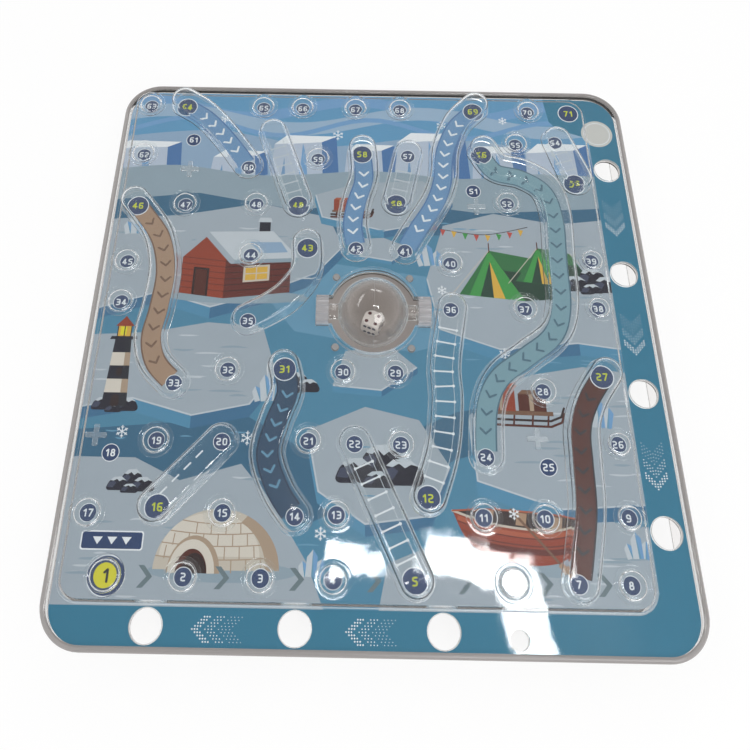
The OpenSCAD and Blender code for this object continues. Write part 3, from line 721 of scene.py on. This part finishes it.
def berg(x, y, w, h, d):
    """A table-topped iceberg: front, side and top faces."""
    low, low_back = (x + w, y), (x + w + d, y + 0.4 * d)
    top, top_back = (x + w - 0.04 * w, y + h), (x + w + 0.8 * d, y + h + 0.45 * d)
    top_left = (x + 0.06 * w, y + 0.92 * h)
    lay("blue_dark", [low, low_back, top_back, top])
    lay("snow", [(x, y), low, top, top_left])
    lay("white", [top_left, top, top_back, (x + 0.3 * w, y + h + 0.5 * d)])
    lay("ribbon", [(x + 0.55 * w, y), (x + 0.72 * w, y), (x + 0.66 * w, y + 0.7 * h), (x + 0.6 * w, y + 0.97 * h)])
    lay("blue", [(x + 0.2 * w, y), (x + 0.3 * w, y), (x + 0.26 * w, y + 0.6 * h)])
    lay("blue_dark", [low, low_back, (x + w + 0.95 * d, y + 0.4 * d + 0.25 * h), (x + w, y + 0.2 * h)])


def sled(x, y, s):
    """A sled with lashed crates."""
    put = placed(x, y, s)
    for dy, tone in ((0.0, "brown"), (0.18, "brown_dark")):
        stroke(tone, put([(-1.2, 0.05 + dy), (0.9, dy), (1.25, 0.14 + dy), (1.36, 0.42 + dy)]), 1.1)
    for q in (-0.9, -0.3, 0.3, 0.8):
        stroke("brown", put([(q, 0.05), (q + 0.05, 0.42)]), 0.9)
    lay("tan_dark", put([(-1.15, 0.38), (1.0, 0.34), (1.0, 0.48), (-1.15, 0.52)]))
    for q, w, h, tone, top in ((-1.05, 0.85, 0.75, "rust", "rust_lit"), (-0.1, 0.9, 0.55, "brown", "tan_dark")):
        lay(tone, put([(q, 0.5), (q + w, 0.48), (q + w, 0.48 + h), (q, 0.5 + h)]))
        lay(top, put([(q, 0.5 + h), (q + w, 0.48 + h), (q + w + 0.15, 0.62 + h), (q + 0.15, 0.64 + h)]))
        a, b = q + 0.4 * w, q + 0.55 * w
        lay("cream_dim", put([(a, 0.5), (b, 0.5), (b, 0.49 + h), (a, 0.49 + h)]))


def pennants(a, b, count):
    path = curve([a, ((a[0] + b[0]) / 2, (a[1] + b[1]) / 2 - 4), b], 12)
    stroke("brown_dark", path, 0.4, caps=False)
    for k, q in enumerate(spaced(path, np.linalg.norm(np.subtract(b, a)) / count)[:-1]):
        lay(("coral", "gold", "green")[k % 3], [q + (0.4, 0), q + (3.4, -0.6), q + (1.7, -4.2)])


def landscape():
    lay("water", [(-150, -150), (150, -150), (150, 150), (-150, 150)])
    lay("sky", [(-150, 92), (150, 92), (150, 150), (-150, 150)])
    crest = curve([(-150, 112), (-90, 118), (-30, 108), (40, 116), (100, 108), (150, 114)], 8)
    lay("sky_low", crest.tolist() + [(150, 80), (-150, 80)])
    wave = np.linspace(-150, 150, 40)
    for y, k, w, tone in ((134, 0.05, 7, "ribbon"), (126, 0.043, 9, "ribbon_pale"), (121, 0.06, 3, "ribbon")):
        ribbon(tone, np.column_stack([wave, y + 6 * np.sin(wave * k + y)]), w)
    for x, y, w, h, d in ((-150, 84, 34, 22, 8), (-92, 86, 26, 15, 7), (-58, 84, 30, 27, 9), (-16, 88, 22, 18, 8),
                          (12, 84, 34, 30, 9), (56, 86, 24, 20, 8), (86, 82, 30, 26, 9)):
        berg(x, y, w, h, d)
    shore = curve([(-150, 90), (-110, 94), (-60, 88), (0, 92), (50, 88), (100, 92), (150, 88)], 6)
    lay("ice_dim", shore.tolist() + [(150, 66), (-150, 66)])
    lay("deep", [(-150, 70), (-96, 76), (-40, 66), (0, 74), (60, 66), (150, 72), (150, 52), (-150, 52)])
    lay("deep", [(-150, -56), (-60, -48), (-20, -70), (40, -44), (150, -20),
                 (150, -34), (40, -66), (-30, -96), (-150, -76)])
    lay("shallow", [(-60, 20), (-20, 34), (40, 26), (60, -2), (20, -14), (-40, -4)])
    floe([(-150, 58), (-150, 4), (-112, 16), (-84, 8), (-58, 16), (-30, 28), (-16, 44), (-24, 62),
          (-62, 70), (-104, 62)], 6)
    floe([(-150, -8), (-150, -46), (-118, -40), (-88, -48), (-60, -42), (-48, -26), (-56, -2), (-84, 0), (-114, -6)], 6)
    floe([(-150, -68), (-150, -140), (-18, -140), (-30, -112), (-46, -88), (-62, -70), (-90, -78), (-112, -68)], 4)
    floe([(-26, -82), (-4, -96), (26, -92), (36, -70), (22, -48), (-4, -42), (-32, -54)], 5)
    floe([(0, -140), (150, -140), (150, -98), (104, -92), (72, -102), (36, -100), (6, -112)], 4)
    floe([(48, -76), (86, -88), (150, -84), (150, -26), (104, -20), (70, -26), (46, -46)], 6)
    floe([(34, -2), (64, -12), (104, -8), (150, -14), (150, 66), (100, 60), (66, 66), (38, 58), (28, 26)], 6)
    floe([(-28, 62), (6, 54), (34, 60), (44, 74), (28, 86), (-8, 84), (-32, 76)], 4)
    floe([(-20, -32), (4, -34), (22, -22), (10, -12), (-14, -14)], 3)
    floe([(-14, 40), (10, 36), (20, 44), (6, 50), (-12, 49)], 2)
    for box in ((-140, -128, -50, -76), (-140, -40, -56, -6), (-140, 18, -40, 56), (10, -130, 120, -106),
                (44, 6, 120, 56), (56, -78, 120, -34)):
        streaks("ice_lit", *box, 10, 16, 0.8)
        streaks("ice_dim", *box, 8, 20, 1.1)
    for box in ((-140, -64, -50, -54), (-20, -10, 40, 34), (-44, -110, 0, -60), (40, -20, 120, -10), (-30, 54, 60, 60)):
        streaks("shallow", *box, 7, 12, 0.7)
    cabin(-78, 16, 23)
    lighthouse(-126, -44, 17)
    tent(62, 18, 17)
    tent(88, 26, 13)
    pennants((36, 56), (84, 58), 8)
    igloo(-70, -116, 28)
    boat(66, -100, 23, -6)
    sled(72, -50, 15)
    sled(-12, 62, 9)
    for at in ((2, -76, 13), (-113, -82, 7), (114, 22, 10), (-38, -34, 7)):
        stones(*at)
    for at in ((-52, -40, 7, 0.1), (108, -50, 8, -0.05), (-28, -118, 6, -0.1), (30, 34, 7, 0.1),
               (118, -108, 6, 0.0), (-128, 50, 7, 0.05)):
        crystal(*at)
    for x, y, r in ((-60, -58, 3.4), (66, -14, 3), (-24, -100, 3), (36, 20, 2.6), (-20, 116, 3.4), (40, 124, 3),
                    (-86, 126, 2.8), (76, 128, 2.6), (-120, -56, 3), (64, -90, 2.6)):
        flake(x, y, r)


SLIDE_PRINT_W, SLIDE_EDGE_W = 9.2, 10.8


def print_slide(ends, body, edge, mark, step):
    path = route(*ends)[2:-2]
    ribbon(edge, path, SLIDE_EDGE_W)
    ribbon(body, path, SLIDE_PRINT_W)
    t = headings(path)
    for i in range(7, len(path) - 5, step):
        u, v = t[i], left_of(t[i])
        stroke(mark, [path[i] - 1.5 * u + 2.5 * v, path[i] + 0.9 * u, path[i] - 1.5 * u - 2.5 * v], 1.1)


def print_ladder(ends, gap, pitch, dashed=False, rail="white"):
    path = route(*ends)[3:-3]
    side = left_of(headings(path))
    for s in (-1, 1):
        line = path + s * gap / 2 * side
        if dashed:
            for i in range(0, len(line) - 4, 5):
                stroke(rail, line[i:i + 4], 0.8, caps=False)
        else:
            stroke("ice_lit", line, 0.3, caps=False)
    if not dashed:
        for i in range(3, len(path) - 2, pitch):
            rung = [path[i] - gap / 2 * side[i], path[i] + gap / 2 * side[i]]
            stroke(rail, rung, 0.8, caps=False)
            for q in rung:
                lay(rail, oval(q[0], q[1], 0.75, n=12))


# Plain digits of height 1 as strokes, each with whether it closes
W = 0.56
GLYPHS = {
    "0": [([(0, 0), (W, 0), (W, 1), (0, 1)], True)],
    "1": [([(0.0, 0.76), (0.28, 1.0), (0.28, 0)], False)],
    "2": [([(0, 1), (W, 1), (W, 0.52), (0, 0.48), (0, 0), (W, 0)], False)],
    "3": [([(0, 1), (W, 1), (W, 0), (0, 0)], False), ([(0.12, 0.5), (W, 0.5)], False)],
    "4": [([(W + 0.06, 0.26), (-0.04, 0.26), (0.38, 1.0), (0.38, 0)], False)],
    "5": [([(W, 1), (0, 1), (0, 0.54), (W, 0.54), (W, 0), (0, 0)], False)],
    "6": [([(W, 1), (0, 1), (0, 0), (W, 0), (W, 0.54), (0, 0.54)], False)],
    "7": [([(0, 1), (W, 1), (0.16, 0)], False)],
    "8": [([(0, 0), (W, 0), (W, 0.52), (0, 0.52)], True),
          ([(0.05, 0.52), (W - 0.05, 0.52), (W - 0.05, 1), (0.05, 1)], True)],
    "9": [([(0, 0), (W, 0), (W, 1), (0, 1), (0, 0.46), (W, 0.46)], False)],
}
WIDE = {"1": 0.3}
ANGULAR = "147"
# A cell's mark: its discs from below, the points round them, and the number's height and ink
START_MARK = ((("white", 8.5), ("navy", 8.1), ("yellow", 5.4)), 40, 6.4, "dark")
BIG_MARK = ((("white", 6.0), ("navy", 5.5)), 36, 4.2, "lime")
SMALL_MARK = ((("white", 4.2), ("navy", 3.85)), 28, 3.8, "white")


def number(n, x, y, h, tone):
    text = str(n)
    inner = h * 0.76
    w = h * 0.17
    space = h * 0.36
    widths = [WIDE.get(c, W) * inner for c in text]
    left = x - (sum(widths) + space * (len(text) - 1)) / 2
    for c, k in zip(text, widths):
        for line, closed in GLYPHS[c]:
            q = np.array(line, float) if c in ANGULAR else cornered(line, 0.24, 2, closed)
            stroke(tone, q * inner + (left, y - inner / 2), w, closed)
        left += k + space


def marks():
    print_slide((46, 33), "tan", "tan_dark", "tan_dark", 6)
    print_slide((27, 7), "brown", "dark", "dark", 6)
    print_slide((31, 14), "slate", "slate_dark", "shallow", 5)
    print_slide((56, 24), "teal", "teal_dark", "teal_dark", 6)
    for ends in ((58, 42), (64, 60), (69, 41)):
        print_slide(ends, "blue", "blue_dark", "white", 5)
    print_ladder((5, 22), 9.0, 5)
    print_ladder((12, 36), 9.0, 5)
    for ends in ((49, 65), (50, 57), (53, 54)):
        print_ladder(ends, 8.0, 4, rail="ice_lit")
    print_ladder((16, 20), 7.0, 4, dashed=True)
    for x in (-101, -67, -34, 0, 40, 75.5, 101.5):
        lay("grey", [(x - 3.2, -114.4), (x - 0.6, -114.4), (x + 3.4, -119),
                     (x - 0.6, -123.6), (x - 3.2, -123.6), (x + 0.8, -119)])
    lay("white", round_box(-131.6, -108.6, -103.4, -100.4, 1.2))
    lay("navy", round_box(-131, -108, -104, -101, 1.0))
    for x in (-124, -117.5, -111):
        lay("white", [(x - 2.2, -103.0), (x + 2.2, -103.0), (x, -106.2)])
    for tone, r in (("plate", 9), ("white", 7.6), ("plate", 7.2)):
        lay(tone, oval(130, 120, r, n=40))
    for n, (x, y) in enumerate(CELLS, 1):
        discs, points, height, tone = START_MARK if n == 1 else BIG_MARK if n in BIG else SMALL_MARK
        for under, r in discs:
            lay(under, oval(x, y, r, n=points))
        number(n, x, y, height, tone)


def dots(x, y, turn):
    """Three chevrons of dots behind a tip, each with smaller dots than the one before."""
    t = math.radians(turn)
    u, v = np.array([math.cos(t), math.sin(t)]), np.array([-math.sin(t), math.cos(t)])
    for back, rows, pitch, size in ((0, 3, 1.15, 0.44), (5.6, 3, 1.4, 0.33), (11.4, 4, 1.6, 0.23)):
        for k in range(rows):
            for j in range(-4, 5):
                q = np.array([x, y]) - u * (back + k * pitch + abs(j) * 1.25) + v * j * 1.2
                lay("white", [q - size * u, q + size * v, q + size * u, q - size * v])


def bands():
    """The plain bands in front and on the right, past the card's edge, and the rounded corners between."""
    past, cx, cy, r = 160, 114.4, -120.8, 10
    lay("band", round_box(-past, -past, past, FIELD_Y0 + 0.2, 0.1))
    lay("band", round_box(FIELD_X1 - 0.6, -past, past, past, 0.1))
    fillet = [(cx + r * math.cos(a), cy + r * math.sin(a)) for a in np.linspace(-math.pi / 2, 0, 9)]
    lay("band", fillet + [(126, cy), (126, -132), (cx, -132)])
    lay("band", [(100, 150), (103, 128), (108, 122), (118, 119), (126, 116), (past, 116), (past, past), (100, past)])
    for y in (54, -13, -78):
        dots(132, y, -90)
    for x in (-78, -12):
        dots(x, -139.2, 180)


def holes():
    for x, y, r in HOLES:
        lay(None, oval(x, y, r, n=56))
    a0 = math.asin(NOTCH_W / 2 / OPEN_R)
    back = [(OPEN_R * math.cos(a), OPEN_R * math.sin(a)) for a in np.linspace(a0, math.pi - a0, 40)]
    front = [(OPEN_R * math.cos(a), OPEN_R * math.sin(a)) for a in np.linspace(math.pi + a0, 2 * math.pi - a0, 40)]
    h = NOTCH_W / 2
    out = back + [(-NOTCH_X, h), (-NOTCH_X, -h)] + front + [(NOTCH_X, -h), (NOTCH_X, h)]
    lay(None, np.array(out) + (0, BALL_Y))
    for sx in (-1, 1):
        for sy in (-1, 1):
            lay(None, oval(sx * PIN_REACH, BALL_Y + sy * PIN_REACH, PIN_HOLE_R, n=24))


def topmost(spots):
    """The ink at each spot: the last shape that covers it, or -1 outside the card and in holes."""
    tone_of = np.full(len(spots), -1)
    on_card = None
    for tone, p in shapes:
        lo, hi = p.min(0), p.max(0)
        near = np.nonzero(((spots >= lo) & (spots <= hi)).all(1))[0]
        if not len(near):
            continue
        x, y = spots[near, 0][:, None], spots[near, 1][:, None]
        q = np.roll(p, -1, axis=0)
        cross = (p[:, 1] > y) != (q[:, 1] > y)
        rise = np.where(q[:, 1] == p[:, 1], 1.0, q[:, 1] - p[:, 1])
        inside = (cross & (x < p[:, 0] + (y - p[:, 1]) * (q[:, 0] - p[:, 0]) / rise)).sum(1) % 2 == 1
        if on_card is None:
            on_card = np.zeros(len(spots), bool)
            on_card[near[inside]] = True
        tone_of[near[inside]] = -1 if tone is None else INK_ORDER.index(tone)
    tone_of[~on_card] = -1
    return tone_of


def printed_card():
    """The card as one solid: its top cut along every print outline, each field in its own ink."""
    lay("water", round_box(-CARD_X, CARD_Y0, CARD_X, CARD_Y1, CARD_R, 12))
    landscape()
    bands()
    marks()
    holes()
    coords, edges = [], []
    for _, p in shapes:
        n = len(coords)
        edges += [(n + i, n + (i + 1) % len(p)) for i in range(len(p))]
        coords += [Vector(q) for q in p]
    flat, _, tris, _, _, _ = delaunay_2d_cdt(coords, edges, [], 0, 1e-4)
    flat = np.array([tuple(q) for q in flat])
    tris = np.array([tuple(t) for t in tris])
    tone_of = topmost(flat[tris].mean(1))
    top, which = [], []
    for t, k in zip(tris.tolist(), tone_of):
        if k >= 0:
            top.append(tuple(t))
            which.append(int(k))
    used = sorted({i for t in top for i in t})
    at = {v: k for k, v in enumerate(used)}
    top = [tuple(at[i] for i in t) for t in top]
    n = len(used)
    verts = [(flat[i][0], flat[i][1], CARD_TOP) for i in used]
    verts += [(x, y, CARD_LOW) for x, y, _ in verts]
    around = {(t[i], t[(i + 1) % 3]) for t in top for i in range(3)}
    rim = [(a, b) for a, b in around if (b, a) not in around]
    board = INK_ORDER.index("board")
    faces = top + [tuple(n + i for i in t[::-1]) for t in top] + [(b, a, n + a, n + b) for a, b in rim]
    which += [board] * (len(top) + len(rim))
    piece("card", verts, faces, list(INKS.values()), "case", "card", ["printed_card"], 20, which)


# Build

printed_card()


# The middle of a corner's round, and from there outwards where the bead and the field's walls begin
CORNER_X, CORNER_Y, BEAD_FROM, WALLS_FROM = 125, 129, 17.0, -20


def on_rim(f):
    """1 for a face of the rim's bead and lip, 2 for the walls round the field, 0 for the rest of the cover."""
    x, y = abs(f.center.x) / MM - CORNER_X, abs(f.center.y) / MM - CORNER_Y
    out = math.hypot(x, y) if min(x, y) > 0 else max(x, y)
    if out > BEAD_FROM:
        return 1
    return 2 if abs(f.normal.z) < 0.5 and max(x, y) > WALLS_FROM else 0


refined("clear_cover", "top_cover", [CLEAR, RIM, STEP], "case", 0.25, sort=on_rim)
refined("clear_base", "base_tray", [SMOKY], "case", 0.2)
refined("card_supports", "support_crosses", [CROSS], "case", 0.15)
refined("card_pins", "locating_pins", [PIN], "case", 0.15)
for s in ("left", "right"):
    refined("bearing_top_" + s, "bearing_cap_" + s, [BEARING], "case", 0.25)
    refined("bearing_bottom_" + s, "bearing_saddle_" + s, [BEARING], "case", 0.25)

domed = [n for n in range(1, len(CELLS) + 1) if n not in BARE]
domes = joined([dome(*CELLS[n - 1], EDGE_DOME_R if n in EDGE_CELLS else DOME_R) for n in domed])
piece("domes", *domes, [CLEAR], "case", "clear", ["cell_domes"], sharp=50)
piece("start_cap", *dome(*CELLS[0], START_R), [CLEAR], "case", "clear", ["start_dome"], sharp=50)
for kind, group in (("slide", SLIDES), ("ladder", LADDERS)):
    for a, b in group:
        node = f"{kind}_{a}_to_{b}"
        piece(f"run_{a}_to_{b}", *run_shell(route(a, b)), [CLEAR], "case", "clear", [node], sharp=50)

piece("ball_left", *ball_half(-1), [BALL], "dice_ball", "clear", ["dice_ball_left"], sharp=40)
piece("ball_right", *ball_half(1), [BALL], "dice_ball", "clear", ["dice_ball_right"], sharp=40)


# How far from the die's middle its pips reach, and the least height of a pip on its top face
PIP_REACH, TOP_PIP_Z = 6.65, 4.2


def die_face(f):
    """0 for the white body, 1 for a pip of the top face, 2 for the other pips."""
    c = Matrix.Rotation(math.radians(DIE_ROLL), 3, "X") @ (f.center / MM - Vector((0, BALL_Y, AXLE_Z)))
    c = Matrix.Rotation(math.radians(-DIE_TURN), 3, "Z") @ (c + Vector((0, 0, DIE_DROP)))
    if max(abs(k) for k in c) > DIE_S / 2 - 0.05 or c.length > PIP_REACH:
        return 0
    return 1 if c.z > TOP_PIP_Z else 2


refined("white_die", "die", [WHITE, PIP_RED, PIP_BLUE], "die", 0.0, 0.0, die_face)


# Stage, in metres

def floor():
    """A pale floor that glows white to the camera, with painted shade: a darker taupe round area that the case covers,
    where its shadow falls.
    """
    mat, nt = blank("floor")
    length = add_node(nt, "VectorMath", {0: add_node(nt, "TexCoord", {}).outputs["Object"]})
    length.operation = "LENGTH"
    far = length.outputs["Value"]
    # Painted shade: near the middle the floor turns a darker taupe and glows less, standing in for the shadow under the
    # case; from about 8 to 12 cm out it fades to white.
    white = add_node(nt, "MapRange", {"Value": far, "From Min": 0.08, "From Max": 0.125, "To Min": 0.4, "To Max": 0.88})
    tone = add_node(nt, "ValToRGB", {"Fac": far})
    shade_patch, rest = tone.color_ramp.elements
    shade_patch.position, shade_patch.color = 0.07, (0.44, 0.40, 0.385, 1)
    rest.position, rest.color = 0.12, (1, 1, 1, 1)
    colour = tone.outputs["Color"]
    p = add_node(nt, "BsdfPrincipled", {"Base Color": colour, "Roughness": 0.9, "Specular IOR Level": 0.0})
    glow = add_node(nt, "Emission", {"Color": colour})
    path = add_node(nt, "LightPath", {}).outputs
    seen = math_node(nt, "MAXIMUM", path["Is Glossy Ray"], path["Is Transmission Ray"])
    seen = math_node(nt, "MAXIMUM", path["Is Camera Ray"], seen)
    share = math_node(nt, "MULTIPLY", seen, white.outputs[0])
    shown(mat, add_node(nt, "MixShader", {0: share, 1: p.outputs[0], 2: glow.outputs[0]}))
    mesh = bpy.data.meshes.new("floor")
    half, z = 4.0, -0.0002
    mesh.from_pydata([(-half, -half, z), (half, -half, z), (half, half, z), (-half, half, z)], [], [(0, 1, 2, 3)])
    mesh.materials.append(mat)
    obj = bpy.data.objects.new("floor", mesh)
    scene.collection.objects.link(obj)


def world():
    w = bpy.data.worlds.new("studio")
    w.use_nodes = True
    nt = w.node_tree
    nt.nodes.clear()
    up = add_node(nt, "SeparateXYZ", {0: add_node(nt, "TexCoord", {}).outputs["Generated"]}).outputs["Z"]
    fade = add_node(nt, "MapRange", {"Value": up, "To Min": 1.0, "To Max": 0.3})
    back = add_node(nt, "Background", {"Color": (1.0, 0.99, 0.975, 1), "Strength": fade.outputs[0]})
    add_node(nt, "OutputWorld", {"Surface": back.outputs[0]})
    scene.world = w


def softbox(name, at, to, size, radiance, roll=0.0):
    lamp = bpy.data.lights.new(name, "AREA")
    lamp.shape = "RECTANGLE"
    lamp.size, lamp.size_y = size
    lamp.energy = radiance * math.pi * size[0] * size[1]
    obj = bpy.data.objects.new(name, lamp)
    obj.location = at
    aim = (Vector(to) - Vector(at)).to_track_quat("-Z", "Y")
    obj.rotation_euler = (aim @ Quaternion((0, 0, 1), math.radians(roll))).to_euler()
    scene.collection.objects.link(obj)


def camera():
    cam = bpy.data.cameras.new("photo_view")
    cam.sensor_width = 36.0
    cam.lens = 37.783
    cam.shift_x, cam.shift_y = 0.0493, -0.2
    cam.clip_start = 0.01
    obj = bpy.data.objects.new("photo_view", cam)
    obj.matrix_world = Matrix(((0.9998295, -0.0180511, 0.0038974, -0.0172636),
                               (0.0177869, 0.8845625, -0.4660824, -0.1421759),
                               (0.0049658, 0.4660722, 0.8847327, 0.3976476),
                               (0, 0, 0, 1)))
    scene.collection.objects.link(obj)
    scene.camera = obj


floor()
world()
softbox("window_left", (0.018, -0.015, 1.2), (0.018, -0.01, 0.0), (0.106, 0.054), 20.0)
softbox("window_right", (0.222, -0.012, 1.2), (0.222, -0.01, 0.0), (0.152, 0.064), 20.0, -14)
softbox("window_end", (0.322, -0.088, 1.2), (0.322, -0.08, 0.0), (0.078, 0.16), 20.0, 14)
softbox("front", (0.5, -1.0, 1.2), (0, 0, 0.02), (0.9, 0.9), 3.8)
softbox("back", (0.15, 1.1, 0.75), (0, 0, 0.02), (0.7, 0.12), 5.0)
softbox("strip", (-0.9, 0.5, 0.9), (0, 0, 0.02), (1.0, 0.14), 4.0)
camera()
scene.view_settings.view_transform = "Standard"
scene.cycles.transparent_max_bounces = 24

bpy.context.view_layer.update()
